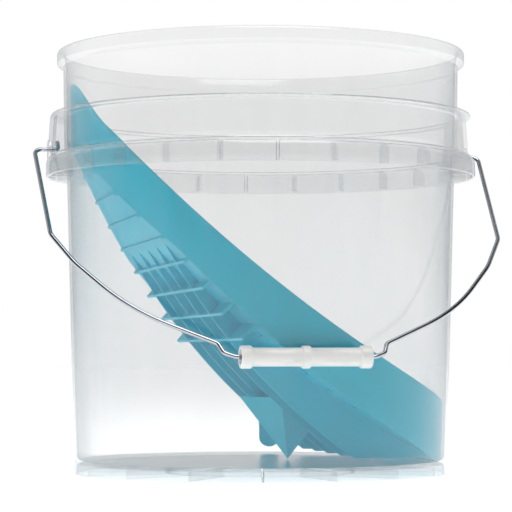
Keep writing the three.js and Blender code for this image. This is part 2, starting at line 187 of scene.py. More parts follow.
def gathered(meshes: Iterable[bmesh.types.BMesh]) -> bmesh.types.BMesh:
    """Several meshes that don't touch, held in one."""
    whole = bmesh.new()
    for bm in meshes:
        held = bpy.data.meshes.new("held")
        bm.to_mesh(held)
        bm.free()
        whole.from_mesh(held)
        bpy.data.meshes.remove(held)
    return whole


def spread(bm: bmesh.types.BMesh, count: int, first: float) -> bmesh.types.BMesh:
    """Copies of a mesh spread evenly round Z.

    Args:
        bm: The mesh, which lies along +X.
        count: How many copies there are.
        first: Angle of the first one, in radians.

    Returns:
        One mesh that holds them all.
    """
    bmesh.ops.rotate(bm, verts=bm.verts, cent=(0, 0, 0), matrix=Matrix.Rotation(first, 3, "Z"))
    bmesh.ops.spin(
        bm, geom=bm.verts[:] + bm.edges[:] + bm.faces[:], cent=(0, 0, 0), axis=(0, 0, 1), dvec=(0, 0, 0),
        angle=2 * math.pi * (count - 1) / count, steps=count - 1, use_duplicate=True,
    )
    return bm


class Solid:
    """A closed mesh that others join, cut or limit, and that becomes a finished piece."""

    def __init__(self, bm: bmesh.types.BMesh) -> None:
        """Takes over a closed mesh in millimetres."""
        mesh = bpy.data.meshes.new("solid")
        bm.to_mesh(mesh)
        bm.free()
        self.obj = bpy.data.objects.new("solid", mesh)
        bpy.context.scene.collection.objects.link(self.obj)

    def change(self, other: "Solid", how: Boolean) -> "Solid":
        """Changes this solid by another one, which is used up.

        Args:
            other: The solid that joins, cuts or limits this one.
            how: Which of these it does.

        Returns:
            This solid.
        """
        modifier = self.obj.modifiers.new("change", "BOOLEAN")
        modifier.operation = how.value
        modifier.solver = "MANIFOLD"
        modifier.object = other.obj
        seen = self.obj.evaluated_get(bpy.context.evaluated_depsgraph_get())
        mesh = bpy.data.meshes.new_from_object(seen)
        self.obj.modifiers.clear()
        spent = [self.obj.data, other.obj.data]
        self.obj.data = mesh
        bpy.data.objects.remove(other.obj)
        for old in spent:
            bpy.data.meshes.remove(old)
        return self

    def join(self, bm: bmesh.types.BMesh) -> "Solid":
        """Joins a mesh to this solid."""
        return self.change(Solid(bm), Boolean.JOIN)

    def cut(self, bm: bmesh.types.BMesh) -> "Solid":
        """Cuts a mesh out of this solid."""
        return self.change(Solid(bm), Boolean.CUT)

    def keep(self, bm: bmesh.types.BMesh) -> "Solid":
        """Keeps only what lies inside a mesh."""
        return self.change(Solid(bm), Boolean.KEEP)

    def piece(self, name: str, place: Matrix = Matrix.Identity(4), sharp: float = 32) -> bpy.types.Object:
        """Finishes the solid as a named piece in metres.

        Args:
            name: The piece's name.
            place: Where it goes, in millimetres.
            sharp: Edges that bend by more than this many degrees stay sharp.

        Returns:
            The piece, with its place in its mesh.
        """
        self.obj.name = self.obj.data.name = name
        self.obj.data.transform(Matrix.Scale(MM, 4) @ place)
        self.obj.data.shade_smooth()
        self.obj.data.set_sharp_from_angle(angle=math.radians(sharp))
        return self.obj


def carry(piece: bpy.types.Object, body: str, node: str, finish: bpy.types.Material) -> None:
    """Puts a piece on its body in place of a node, and gives it its finish.

    Args:
        piece: The finished piece.
        body: The moving body that carries it.
        node: The node that it stands for.
        finish: Its material.
    """
    piece.data.materials.clear()
    piece.data.materials.append(finish)
    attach(piece, body)
    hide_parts(node)
    low, high = piece.bound_box[0], piece.bound_box[6]
    size = [round((b - a) / MM, 1) for a, b in zip(low, high)]
    log.info("%s: %d faces, %s mm, on body %s", piece.name, len(piece.data.polygons), size, body)


# ---------------------------------------------------------------- finishes


def linear(hex_colour: str) -> tuple[float, float, float, float]:
    """An sRGB hex colour as linear light."""
    parts = [int(hex_colour[i : i + 2], 16) / 255 for i in (1, 3, 5)]
    light = [c / 12.92 if c <= 0.04045 else ((c + 0.055) / 1.055) ** 2.4 for c in parts]
    return (*light, 1.0)


def add(tree: bpy.types.NodeTree, kind: str, settings: dict[Any, Any], **links: Any) -> bpy.types.Node:
    """Adds a node.

    Args:
        tree: The material's node tree.
        kind: The node's type, without its "ShaderNode" start.
        settings: Its properties by name, and the values of its inputs by name or place.
        links: What feeds its inputs, by name with _ for a space, or by in0, in1 for its sockets in order.

    Returns:
        The node.
    """
    node = tree.nodes.new("ShaderNode" + kind)
    for name, value in settings.items():
        if isinstance(name, str) and hasattr(node, name):
            setattr(node, name, value)
        else:
            node.inputs[name].default_value = value
    for name, source in links.items():
        key = int(name[2:]) if name[:2] == "in" and name[2:].isdigit() else name.replace("_", " ")
        tree.links.new(source, node.inputs[key])
    return node


@dataclass(frozen=True)
class Finish:
    """A material: how it is made, and how its surface is drawn."""

    name: str

    def material(self) -> bpy.types.Material:
        """Makes the material and draws it with nodes."""
        made = bpy.data.materials.new(self.name)
        made.use_nodes = True
        made.node_tree.nodes.clear()
        surface = self.surface(made.node_tree)
        add(made.node_tree, "OutputMaterial", {}, Surface=surface)
        return made

    def surface(self, tree: bpy.types.NodeTree) -> bpy.types.NodeSocket:
        """Draws the surface and returns its shader socket."""
        raise NotImplementedError

    @staticmethod
    def place(tree: bpy.types.NodeTree, scale: Sequence[float] = (1, 1, 1)) -> bpy.types.NodeSocket:
        """Object coordinates in millimetres, stretched by a scale."""
        where = add(tree, "TexCoord", {})
        return add(
            tree, "Mapping", {"Scale": [s / MM for s in scale]}, Vector=where.outputs["Object"]
        ).outputs["Vector"]


@dataclass(frozen=True)
class NaturalPolypropylene(Finish):
    """Unpigmented polypropylene, injection moulded: milky and clear, with a satin skin.

    Light passes straight through with a pale haze, the haze thickens where the wall is seen edge on,
    and the skin has soft flow marks up the wall. Towards the silhouettes the haze is painted a darker
    grey: painted shade that stands in for the dark surroundings that the wall refracts there.
    """

    name: str = "natural_polypropylene_moulded"
    clear: str = "#FAFAFA"
    milk: str = "#DCDDDE"
    # Painted shade: the dark grey that the haze turns to where the wall is seen edge on, in place of the dark
    # surroundings refracted at the silhouettes.
    edge: str = "#757B80"
    haze: float = 0.04
    edge_haze: float = 0.65
    steepness: float = 4
    flow_width: float = 14
    grain: float = 1.2
    ior: float = 1.49

    def surface(self, tree: bpy.types.NodeTree) -> bpy.types.NodeSocket:
        """Mixes clear, milky and glossy layers; the milky layer is painted darker towards the silhouettes as
        painted shade.
        """
        flow = add(
            tree, "TexNoise", {"Scale": 1 / self.flow_width, "Detail": 3.0, "Roughness": 0.55},
            Vector=self.place(tree, (1, 1, 0.12)),
        )
        skin = add(tree, "TexNoise", {"Scale": 1 / self.grain, "Detail": 2.0}, Vector=self.place(tree))
        bump = add(
            tree, "Bump", {"Strength": 0.06, "Distance": 0.00005}, Height=skin.outputs["Fac"]
        ).outputs["Normal"]
        ripple = add(
            tree, "Bump", {"Strength": 0.12, "Distance": 0.0004}, Height=flow.outputs["Fac"], Normal=bump
        ).outputs["Normal"]
        lean = add(tree, "LayerWeight", {"Blend": 0.5})
        steep = add(
            tree, "Math", {"operation": "POWER", 1: self.steepness}, in0=lean.outputs["Facing"]
        )
        spread_haze = add(
            tree, "MapRange", {"To Min": self.haze, "To Max": self.edge_haze}, Value=steep.outputs[0]
        )
        marks = add(
            tree, "MapRange", {"From Min": 0.3, "From Max": 0.7, "To Min": 0.8, "To Max": 1.2},
            Value=flow.outputs["Fac"],
        )
        amount = add(
            tree, "Math", {"operation": "MULTIPLY"}, in0=spread_haze.outputs[0], in1=marks.outputs[0]
        )
        # Painted shade: the milky colour darkens towards the edge grey as the wall turns edge on to the view,
        # in place of the dark surroundings refracted at the silhouettes.
        colour = add(
            tree, "MixRGB", {"Color1": linear(self.milk), "Color2": linear(self.edge)}, Fac=steep.outputs[0]
        )
        body = add(tree, "BsdfDiffuse", {}, Color=colour.outputs[0])
        through = add(tree, "BsdfTranslucent", {}, Color=colour.outputs[0])
        milk = add(tree, "MixShader", {"Fac": 0.5}, in1=body.outputs[0], in2=through.outputs[0])
        clear = add(tree, "BsdfTransparent", {"Color": linear(self.clear)})
        wall = add(
            tree, "MixShader", {}, Fac=amount.outputs[0], in1=clear.outputs[0], in2=milk.outputs[0]
        )
        gloss = add(tree, "BsdfGlossy", {"Roughness": 0.16, "Color": linear("#F2F3F4")}, Normal=ripple)
        shine = add(tree, "Fresnel", {"IOR": self.ior}, Normal=ripple)
        face = add(tree, "NewGeometry", {})
        outer = add(
            tree, "MixRGB", {"Color2": (0, 0, 0, 1)}, Fac=face.outputs["Backfacing"], Color1=shine.outputs[0]
        )
        return add(
            tree, "MixShader", {}, Fac=outer.outputs[0], in1=wall.outputs[0], in2=gloss.outputs[0]
        ).outputs[0]


@dataclass(frozen=True)
class TealPolypropylene(Finish):
    """Pigmented polypropylene, injection moulded in a finely blasted tool: an even satin teal.

    The blasted tool gives a soft grain, and thin edges let a little light through.
    """

    name: str = "teal_polypropylene_moulded"
    colour: str = "#02C9DE"
    deep: str = "#02BCD1"
    cloud_width: float = 30
    grain: float = 0.9
    roughness: float = 0.42
    glow: float = 0.35

    def surface(self, tree: bpy.types.NodeTree) -> bpy.types.NodeSocket:
        """Draws the pigment's slight clouding, the tool's grain and the light through it."""
        cloud = add(
            tree, "TexNoise", {"Scale": 1 / self.cloud_width, "Detail": 4.0}, Vector=self.place(tree)
        )
        grain = add(
            tree, "TexNoise", {"Scale": 1 / self.grain, "Detail": 3.0, "Roughness": 0.6},
            Vector=self.place(tree),
        )
        bump = add(
            tree, "Bump", {"Strength": 0.25, "Distance": 0.0001}, Height=grain.outputs["Fac"]
        ).outputs["Normal"]
        colour = add(
            tree, "MixRGB", {"Color1": linear(self.deep), "Color2": linear(self.colour)},
            Fac=cloud.outputs["Fac"],
        )
        rough = add(
            tree, "MapRange", {"To Min": self.roughness - 0.06, "To Max": self.roughness + 0.06},
            Value=grain.outputs["Fac"],
        )
        body = add(
            tree, "BsdfPrincipled", {"IOR": 1.49},
            Base_Color=colour.outputs[0], Roughness=rough.outputs[0], Normal=bump,
        )
        through = add(tree, "BsdfTranslucent", {}, Color=colour.outputs[0])
        return add(
            tree, "MixShader", {"Fac": self.glow}, in1=body.outputs[0], in2=through.outputs[0]
        ).outputs[0]


@dataclass(frozen=True)
class ZincPlate(Finish):
    """Drawn steel wire, bright zinc plated: a mirror that the plating's fine grain blurs a little."""

    name: str = "bright_zinc_plated_wire"
    colour: str = "#B4B7BC"
    stain: str = "#989CA2"
    blotch: float = 6
    grain: float = 0.5

    def surface(self, tree: bpy.types.NodeTree) -> bpy.types.NodeSocket:
        """Draws the plating's cloudiness and grain."""
        cloud = add(tree, "TexNoise", {"Scale": 1 / self.blotch, "Detail": 4.0}, Vector=self.place(tree))
        grain = add(tree, "TexNoise", {"Scale": 1 / self.grain, "Detail": 2.0}, Vector=self.place(tree))
        bump = add(
            tree, "Bump", {"Strength": 0.15, "Distance": 0.00005}, Height=grain.outputs["Fac"]
        ).outputs["Normal"]
        colour = add(
            tree, "MixRGB", {"Color1": linear(self.colour), "Color2": linear(self.stain)},
            Fac=cloud.outputs["Fac"],
        )
        rough = add(
            tree, "MapRange", {"From Min": 0.3, "From Max": 0.7, "To Min": 0.05, "To Max": 0.12},
            Value=cloud.outputs["Fac"],
        )
        return add(
            tree, "BsdfPrincipled", {"Metallic": 1.0},
            Base_Color=colour.outputs[0], Roughness=rough.outputs[0], Normal=bump,
        ).outputs[0]


@dataclass(frozen=True)
class WhitePolyethylene(Finish):
    """White polyethylene, injection moulded: soft gloss, slightly waxy, with faint handling scuffs."""

    name: str = "white_polyethylene_moulded"
    colour: str = "#D3D3D1"
    scuff: str = "#C6C6C4"
    scuff_width: float = 5
    grain: float = 0.7

    def surface(self, tree: bpy.types.NodeTree) -> bpy.types.NodeSocket:
        """Draws the wax-like skin and its scuffs."""
        scuff = add(
            tree, "TexNoise", {"Scale": 1 / self.scuff_width, "Detail": 5.0, "Roughness": 0.65},
            Vector=self.place(tree, (0.35, 1, 1)),
        )
        grain = add(tree, "TexNoise", {"Scale": 1 / self.grain, "Detail": 2.0}, Vector=self.place(tree))
        bump = add(
            tree, "Bump", {"Strength": 0.12, "Distance": 0.0001}, Height=grain.outputs["Fac"]
        ).outputs["Normal"]
        amount = add(
            tree, "MapRange", {"From Min": 0.5, "From Max": 0.75}, Value=scuff.outputs["Fac"]
        ).outputs[0]
        colour = add(
            tree, "MixRGB", {"Color1": linear(self.colour), "Color2": linear(self.scuff)}, Fac=amount
        )
        rough = add(tree, "MapRange", {"To Min": 0.3, "To Max": 0.45}, Value=amount)
        return add(
            tree, "BsdfPrincipled",
            {"IOR": 1.51, "Subsurface Weight": 0.15, "Subsurface Scale": 0.002},
            Base_Color=colour.outputs[0], Roughness=rough.outputs[0], Normal=bump,
        ).outputs[0]


@dataclass(frozen=True)
class OpalAcrylic(Finish):
    """Opal acrylic of a studio table, sanded and lit from below: white, with only a soft shadow."""

    name: str = "studio_table_opal_acrylic"
    colour: str = "#F7F7F7"
    cloud_width: float = 400
    glow: float = 0.72

    def surface(self, tree: bpy.types.NodeTree) -> bpy.types.NodeSocket:
        """Draws the sanded sheet and its glow."""
        cloud = add(tree, "TexNoise", {"Scale": 1 / self.cloud_width}, Vector=self.place(tree))
        rough = add(tree, "MapRange", {"To Min": 0.85, "To Max": 0.95}, Value=cloud.outputs["Fac"])
        return add(
            tree, "BsdfPrincipled",
            {"Base Color": linear(self.colour), "Emission Color": linear(self.colour),
             "Emission Strength": self.glow},
            Roughness=rough.outputs[0],
        ).outputs[0]


# ---------------------------------------------------------------- pail


@dataclass
class Pail:
    """The pail: wall, floor, foot ring, carry ring, collar flange, rim and ears are one moulding."""

    height: float = 310.49
    foot_radius: float = 137
    lower_draft: float = draft(1.64)
    upper_draft: float = draft(0.86)
    wall: float = 2
    floor_top: float = 10
    floor_thickness: float = 2.5
    floor_fillet: float = 4
    foot_ring_wall: float = 2
    foot_round: float = 0.5
    underside_round: float = 1.5
    base_ribs: int = 16
    base_rib_thickness: float = 1.6
    base_rib_recess: float = 0.6
    hub_ring_radius: float = 70
    rim_reach: float = 4.8
    rim_lip_height: float = 13
    rim_bead: float = 2.6
    collar_drop: float = 46.5
    collar_reach: float = 9.6
    collar_thickness: float = 2.5
    ring_drop: float = 75.7
    ring_reach: float = 14.15
    ring_height: float = 17
    ring_wall: float = 2
    ring_shoulder: float = 8
    ring_blend: float = 1.5
    ring_blend_reach: float = 1.2
    collar_blend: float = 1.2
    collar_blend_reach: float = 1
    wall_step: float = 1.6
    step_below: float = 6
    step_above: float = 5
    step_lead: float = 4
    step_steps: int = 6
    gussets: int = 24
    gusset_thickness: float = 1.8
    ear_width: float = 27
    ear_wall: float = 2
    ear_plate: float = 2.5
    ear_top_inset: float = 3.5
    ear_foot_inset: float = 0.5
    ear_hole_radius: float = 2.75
    ear_boss_radius: float = 7
    ear_boss_height: float = 1.5
    ear_open: float = 5
    ear_drill: float = 10
    core_depth: float = 20
    pivot_rise: float = 1.9
    flow_line_angle: float = math.radians(-116.6)
    flow_line_width: float = 0.8
    flow_line_height: float = 0.15
    flow_line_start: float = 140
    overlap: float = 1

    def __post_init__(self) -> None:
        """Works out the heights and radii that the driving sizes give."""
        self.ring_top = self.height - self.ring_drop
        self.collar_top = self.height - self.collar_drop
        self.rim_start = self.height - self.rim_lip_height
        self.ring_bottom = self.ring_top - self.ring_height
        self.step_start = self.ring_top - self.step_below
        self.step_end = self.ring_top + self.step_above
        self.pivot_height = self.ring_top + self.pivot_rise
        self.ring_radius = self.wall_radius(self.ring_top) + self.ring_reach
        self.collar_radius = self.wall_radius(self.collar_top) + self.collar_reach
        self.rim_radius = self.wall_radius(self.rim_start) + self.rim_reach

    def wall_radius(self, z: float) -> float:
        """Outer radius of the wall at a height."""
        below = self.foot_radius + self.lower_draft * min(z, self.step_start)
        share = min(max((z - self.step_start) / (self.step_end - self.step_start), 0), 1)
        eased = share * share * (3 - 2 * share)
        return below + self.wall_step * eased + self.upper_draft * max(z - self.step_start, 0)

    def inner_radius(self, z: float) -> float:
        """Inner radius of the wall at a height."""
        return self.wall_radius(z) - self.wall

    def ear_face(self, z: float) -> float:
        """X of the ear's leaning outer face at a height."""
        share = (z - self.ring_bottom) / (self.collar_top - self.ring_bottom)
        return self.ring_radius - self.ear_foot_inset - share * (self.ear_top_inset - self.ear_foot_inset)

    def step_points(self, radius: Callable[[float], float]) -> list[Point]:
        """The wall's step behind the carry ring, eased at both ends."""
        rise = self.step_end - self.step_start
        heights = [self.step_start + rise * i / self.step_steps for i in range(self.step_steps + 1)]
        return [(radius(z), z) for z in heights]

    def foot_points(self) -> list[Point]:
        """The floor's underside and the foot ring that the pail stands on."""
        underside = self.floor_top - self.floor_thickness
        inside = self.foot_radius - self.foot_ring_wall
        corner = self.underside_round
        edge = self.foot_round
        return [
            (0, underside),
            *arc(inside - corner, underside - corner, corner, 90, 0, 4),
            *arc(inside + edge, edge, edge, 180, 270, 3),
            *arc(self.foot_radius - edge, edge, edge, 270, 360, 3),
        ]

    def ring_points(self) -> list[Point]:
        """The carry ring: a skirt that hangs from a round shoulder."""
        x = self.ring_radius - self.ring_shoulder
        z = self.ring_top - self.ring_shoulder
        inside = self.ring_shoulder - self.ring_wall
        lip = self.ring_wall / 2
        under = self.ring_top - self.ring_wall
        foot = under - self.ring_blend
        head = self.ring_top + self.ring_blend
        return [
            (self.wall_radius(foot), foot),
            (self.wall_radius(under) + self.ring_blend_reach, under),
            *arc(x, z, inside, 90, 0, 10),
            *arc(self.ring_radius - lip, self.ring_bottom + lip, lip, 180, 360, 8),
            *arc(x, z, self.ring_shoulder, 0, 90, 12),
            (self.wall_radius(self.ring_top) + self.ring_blend_reach, self.ring_top),
            (self.wall_radius(head), head),
        ]

    def collar_points(self) -> list[Point]:
        """The thin flange above the carry ring."""
        half = self.collar_thickness / 2
        low = self.collar_top - self.collar_thickness
        foot = low - self.collar_blend
        head = self.collar_top + self.collar_blend
        return [
            (self.wall_radius(foot), foot),
            (self.wall_radius(low) + self.collar_blend_reach, low),
            *arc(self.collar_radius - half, self.collar_top - half, half, -90, 90, 8),
            (self.wall_radius(self.collar_top) + self.collar_blend_reach, self.collar_top),
            (self.wall_radius(head), head),
        ]

    def rim_points(self) -> list[Point]:
        """The rim: it flares out to a round bead and falls back inside."""
        start = self.wall_radius(self.rim_start)
        bead = self.rim_bead
        outer = self.rim_radius - bead
        inner = self.inner_radius(self.rim_start)
        return [
            (start, self.rim_start),
            (start + 0.5, self.rim_start + 1.2),
            (self.rim_radius - 1, self.rim_start + 3.2),
            (self.rim_radius - 0.2, self.rim_start + 4.2),
            *arc(outer, self.height - bead, bead, 0, 90, 8),
            *arc(inner + 3.4, self.height - 2, 2, 90, 150, 4),
            (inner + 0.4, self.rim_start + 3),
            (inner, self.rim_start + 1),
        ]

    def profile(self) -> list[Point]:
        """The turned moulding's section, from the axis under the floor round to the axis on top of it."""
        fillet = self.floor_fillet
        floor_x = self.inner_radius(self.floor_top) - fillet
        lead = self.step_start - self.step_lead
        shoulder = self.ring_points()
        outside = [p for p in self.step_points(self.wall_radius) if p[1] > shoulder[-1][1]]
        return [
            *self.foot_points(),
            (self.wall_radius(lead), lead),
            *shoulder,
            *outside,
            *self.collar_points(),
            *self.rim_points(),
            *reversed(self.step_points(self.inner_radius)),
            *arc(floor_x, self.floor_top + fillet, fillet, 0, -90, 8),
            (0, self.floor_top),
        ]

    def gusset_outline(self) -> list[Point]:
        """A web between the wall and the carry ring's skirt."""
        x = self.ring_radius - self.ring_shoulder
        z = self.ring_top - self.ring_shoulder
        low = self.ring_bottom + self.overlap
        return [
            (self.wall_radius(self.ring_bottom) - self.overlap, low),
            (self.ring_radius - self.overlap, low),
            *arc(x, z, self.ring_shoulder - self.overlap, 0, 90, 8),
            (self.wall_radius(self.ring_top) - self.overlap, self.ring_top - self.overlap),
        ]

    def flow_line(self) -> bmesh.types.BMesh:
        """The thin raised line that runs up the wall, from a blunt foot to the carry ring."""
        low, high = self.flow_line_start, self.ring_bottom
        rise = self.flow_line_height
        bm = slab([
            (self.wall_radius(low) - self.overlap, low), (self.wall_radius(low + 4) + rise, low + 4),
            (self.wall_radius(high) + rise, high), (self.wall_radius(high) - self.overlap, high),
        ], self.flow_line_width)
        bmesh.ops.rotate(
            bm, verts=bm.verts, cent=(0, 0, 0), matrix=Matrix.Rotation(self.flow_line_angle, 3, "Z")
        )
        return bm

    def base_rib_outline(self) -> list[Point]:
        """A rib under the floor, from the hub ring to the foot ring."""
        top = self.floor_top - self.floor_thickness + self.overlap
        inside = self.hub_ring_radius - self.overlap
        outside = self.foot_radius - self.overlap
        low = self.base_rib_recess
        return [(inside, low), (outside, low), (outside, top), (inside, top)]

    def hub_ring(self) -> bmesh.types.BMesh:
        """The round rib under the middle of the floor."""
        top = self.floor_top - self.floor_thickness + self.overlap
        inside = self.hub_ring_radius - self.foot_ring_wall
        low = self.base_rib_recess
        outline = [(inside, low), (self.hub_ring_radius, low), (self.hub_ring_radius, top), (inside, top)]
        return turned(outline, closed=True)

    def wall_core(self) -> bmesh.types.BMesh:
        """The solid inside the wall's outer face, which an ear's pocket leaves alone."""
        low = self.ring_bottom - self.core_depth
        return turned([
            (0, low), (self.wall_radius(low), low), *self.step_points(self.wall_radius),
            (self.wall_radius(self.collar_top), self.collar_top), (0, self.collar_top),
        ])

    def ear_outline(self, inset: float, bottom: float, top: float) -> list[Point]:
        """An ear's outline between the wall and its leaning face, pulled in from the face by an inset."""
        return [
            (self.wall_radius(self.ring_bottom) - self.wall / 2, bottom),
            (self.ear_face(bottom) - inset, bottom),
            (self.ear_face(top) - inset, top),
            (self.wall_radius(self.collar_top) - self.wall / 2, top),
        ]

    def pivot_rod(self, radius: float, start: float, end: float) -> bmesh.types.BMesh:
        """A rod along X at the bail's pivot."""
        place = Matrix.Translation(((start + end) / 2, 0, self.pivot_height)) @ Matrix.Rotation(
            math.pi / 2, 4, "Y"
        )
        return rod(radius, end - start, place)

    def both(self, bm: bmesh.types.BMesh) -> bmesh.types.BMesh:
        """A mesh at +X, and its copy at -X."""
        return spread(bm, 2, 0)

    def shell(self) -> bpy.types.Object:
        """Builds the whole moulding."""
        front = -math.pi / 2
        face = self.ear_face(self.pivot_height)
        under = self.collar_top - self.collar_thickness
        shell = Solid(turned(self.profile()))
        gusset = slab(self.gusset_outline(), self.gusset_thickness)
        shell.join(spread(gusset, self.gussets, front + math.pi / self.gussets))
        rib = slab(self.base_rib_outline(), self.base_rib_thickness)
        shell.join(spread(rib, self.base_ribs, front + math.pi / self.base_ribs))
        shell.join(self.hub_ring())
        shell.join(self.flow_line())
        ear = slab(self.ear_outline(0, self.ring_bottom, under + self.overlap), self.ear_width)
        shell.join(self.both(ear))
        boss = self.pivot_rod(self.ear_boss_radius, face - self.ear_plate, face + self.ear_boss_height)
        shell.join(self.both(boss))
        inside = self.ear_width - 2 * self.ear_wall
        hollow = slab(self.ear_outline(self.ear_plate, self.ring_bottom - self.ear_open, under), inside)
        pocket = Solid(self.both(hollow))
        pocket.cut(self.wall_core())
        shell.change(pocket, Boolean.CUT)
        hole = self.pivot_rod(self.ear_hole_radius, face - 2 * self.ear_plate, face + self.ear_drill)
        shell.cut(self.both(hole))
        return shell.piece("pail_moulding")


# ---------------------------------------------------------------- wash ramp


@dataclass
class WashRamp:
    """The lift-out ramp: a sagging washboard plate with a guard round it and ribs below."""

    pail: Pail
    wall_gap: float = 2.5
    rest_gap: float = 0.3
    plate: float = 2.5
    wall: float = 2
    top_drop: float = 72.5
    radius: float = 623
    overrun: float = 8
    toe_inset: float = 18
    guard_top_drop: float = 46
    guard_foot_height: float = 40
    guard_radius: float = 596
    guard_curl_x: float = -125
    guard_curl: float = 0.05
    lip_steps: int = 6
    rib_thickness: float = 2
    rib_count: int = 5
    rib_spacing: float = 40
    rib_radius: float = 445
    rib_start_x: float = -88
    rib_land_x: float = 51
    rib_floor_gap: float = 4
    cross_ribs: int = 8
    cross_rib_depth: float = 2
    cross_rib_reach: float = 80
    flat_distance: float = 126
    flat_angle: float = math.radians(29.4)
    ridge_pitch: float = 21
    ridge_radius: float = 3
    slot_length: float = 14
    slot_width: float = 4.5
    slot_start_x: float = -45
    slot_columns: tuple[float, ...] = (-100, -60, -20, 20, 60, 100)
    keel_x: float = 20.5
    keel_reach: float = 36
    keel_height: float = 46
    keel_turn: float = math.radians(-20)
    finger_x: float = 34
    finger_width: float = 15
    finger_height: float = 50
    strip_foot: Point = (-34, 116)
    strip_head: Point = (-17, 137)
    strip_width: float = 2.6
    strip_height: float = 0.35

    def __post_init__(self) -> None:
        """Works out the arcs that the driving sizes give."""
        pail = self.pail
        toe_z = pail.floor_top + self.rest_gap + self.plate
        self.toe = (pail.foot_radius - pail.wall - self.toe_inset, toe_z)
        self.sag = Sag((-pail.foot_radius, pail.height - self.top_drop), self.toe, self.radius)
        self.guard_sag = Sag(
            (-pail.foot_radius, pail.height - self.guard_top_drop),
            (pail.foot_radius, pail.floor_top + self.guard_foot_height),
            self.guard_radius,
        )
        self.across = 2 * pail.ring_radius

    def reach(self, z: float) -> float:
        """The ramp's own outer radius at a height."""
        return self.pail.inner_radius(z) - self.wall_gap

    def cone(self, inset: float) -> bmesh.types.BMesh:
        """The solid inside the ramp's round outline, clear of the floor's fillet."""
        floor = self.pail.floor_top
        fillet = self.pail.floor_fillet
        top = self.pail.height
        foot = self.reach(floor) - inset - fillet / 2
        return turned([
            (0, floor), (foot, floor), (self.reach(floor + fillet) - inset, floor + fillet),
            *((r - inset, z) for r, z in self.pail.step_points(self.reach)),
            (self.reach(top) - inset, top), (0, top),
        ])

    def flats(self) -> bmesh.types.BMesh:
        """The solid between the two flats that narrow the head of the plate."""
        bm = block((2 * self.across, 2 * self.across, 2 * self.pail.height), Matrix.Identity(4))
        for side in (-1, 1):
            normal = Vector((-math.cos(self.flat_angle), side * math.sin(self.flat_angle), 0))
            cut = bmesh.ops.bisect_plane(
                bm, geom=bm.verts[:] + bm.edges[:] + bm.faces[:], plane_co=normal * self.flat_distance,
                plane_no=normal, clear_outer=True,
            )["geom_cut"]
            rim = [part for part in cut if isinstance(part, bmesh.types.BMEdge)]
            bmesh.ops.contextual_create(bm, geom=rim)
        return cleaned(bm)

    def plate_point(self, x: float) -> Point:
        """The plate's middle surface at an X."""
        return x, self.sag.height(x, self.plate / 2)

    def plate_outline(self) -> list[Point]:
        """The plate from the side: it sags from its head to its toe, and lies flat in front of it."""
        bottom = self.toe[1] - self.plate
        start = self.sag.start[0] - self.overrun
        under = [p for p in reversed(self.sag.points(self.plate)) if p[1] > bottom]
        far = self.pail.foot_radius
        return [
            (start, self.sag.height(start)), *self.sag.points(), (far, self.toe[1]), (far, bottom),
            (self.toe[0] - self.plate, bottom), *under, (start, self.sag.height(start, self.plate)),
        ]

    def rib_outline(self) -> list[Point]:
        """A lengthwise rib, from the plate down to its own arc, which lands just over the floor."""
        landing = self.pail.floor_top + self.rib_floor_gap
        start = self.plate_point(self.rib_start_x)
        upper = [
            p for p in self.sag.points(self.plate / 2)
            if p[0] > self.rib_start_x and p[1] > landing + self.pail.overlap
        ]
        lower = Sag(start, (self.rib_land_x, landing), self.rib_radius).points()
        return [start, *upper, (upper[-1][0], landing), *reversed(lower[1:])]

    def finger_outline(self) -> list[Point]:
        """A tongue at the back, which reaches down beside the plate to steady the ramp."""
        half = self.finger_width / 2
        low = self.pail.floor_top + self.rib_floor_gap + half
        top = low + self.finger_height
        x = self.finger_x
        return [(x + half, top), (x - half, top), *arc(x, low, half, 180, 360, 16)]

    def keel(self) -> bmesh.types.BMesh:
        """A four-sided point under the ramp, which stands on the floor and ends in the plate."""
        bm = bmesh.new()
        middle = self.pail.floor_top + self.rest_gap + self.keel_height / 2
        place = Matrix.Translation((self.keel_x, 0, middle)) @ Matrix.Rotation(self.keel_turn, 4, "Z")
        bmesh.ops.create_cone(
            bm, cap_ends=True, segments=4, radius1=0, radius2=self.keel_reach, depth=self.keel_height,
            matrix=place,
        )
        return cleaned(bm)

    def below_plate(self) -> bmesh.types.BMesh:
        """The solid under the plate's middle surface."""
        far = self.pail.foot_radius
        return slab([*self.sag.points(self.plate / 2), (far, 0), (-far, 0)], self.across)

    def guard_height(self, x: float) -> float:
        """Height of the guard's upper edge at an X: it sags, and curls up behind the plate's head."""
        return self.guard_sag.height(x) + self.guard_curl * max(0, self.guard_curl_x - x) ** 2

    def strip(self) -> Solid:
        """A thin raised strip on the guard's outer face, at the front."""
        (x0, z0), (x1, z1) = self.strip_foot, self.strip_head
        along = Vector((x1 - x0, z1 - z0)).normalized() * self.strip_width / 2
        outline = [
            (x0 - along.y, z0 + along.x), (x1 - along.y, z1 + along.x),
            (x1 + along.y, z1 - along.x), (x0 + along.y, z0 - along.x),
        ]
        strip = Solid(slab(outline, self.across / 2, -self.across / 4))
        strip.keep(self.cone(-self.strip_height))
        return strip.cut(self.cone(self.wall / 2))

    def plate_reach(self, angle: float, z: float) -> float:
        """Distance from the axis to the plate's edge: the nearer of the round outline and a flat."""
        off = abs(math.pi - abs(angle)) - self.flat_angle
        flat = self.flat_distance / math.cos(off) if math.cos(off) > 0.1 else math.inf
        return min(self.reach(z), flat)

    def guard_point(self, angle: float, upper: bool, inset: float, rise: float) -> Vector:
        """A point of the guard's lower or upper edge.

        Args:
            angle: Its direction from the axis.
            upper: Whether it is on the upper edge.
            inset: How far it is set in from the outer face.
            rise: How far it stands above the edge.

        Returns:
            The point, found by stepping in from the round outline.
        """
        edge = self.reach if upper else lambda height: self.plate_reach(angle, height)
        x = self.reach(0) * math.cos(angle)
        z = 0.0
        for _ in range(5):
            if upper:
                z = self.guard_height(x)
            else:
                z = max(self.sag.height(x), self.toe[1]) - self.plate / 2
            x = edge(z) * math.cos(angle)
        reach = edge(z) - inset
        return Vector((reach * math.cos(angle), reach * math.sin(angle), z + rise))

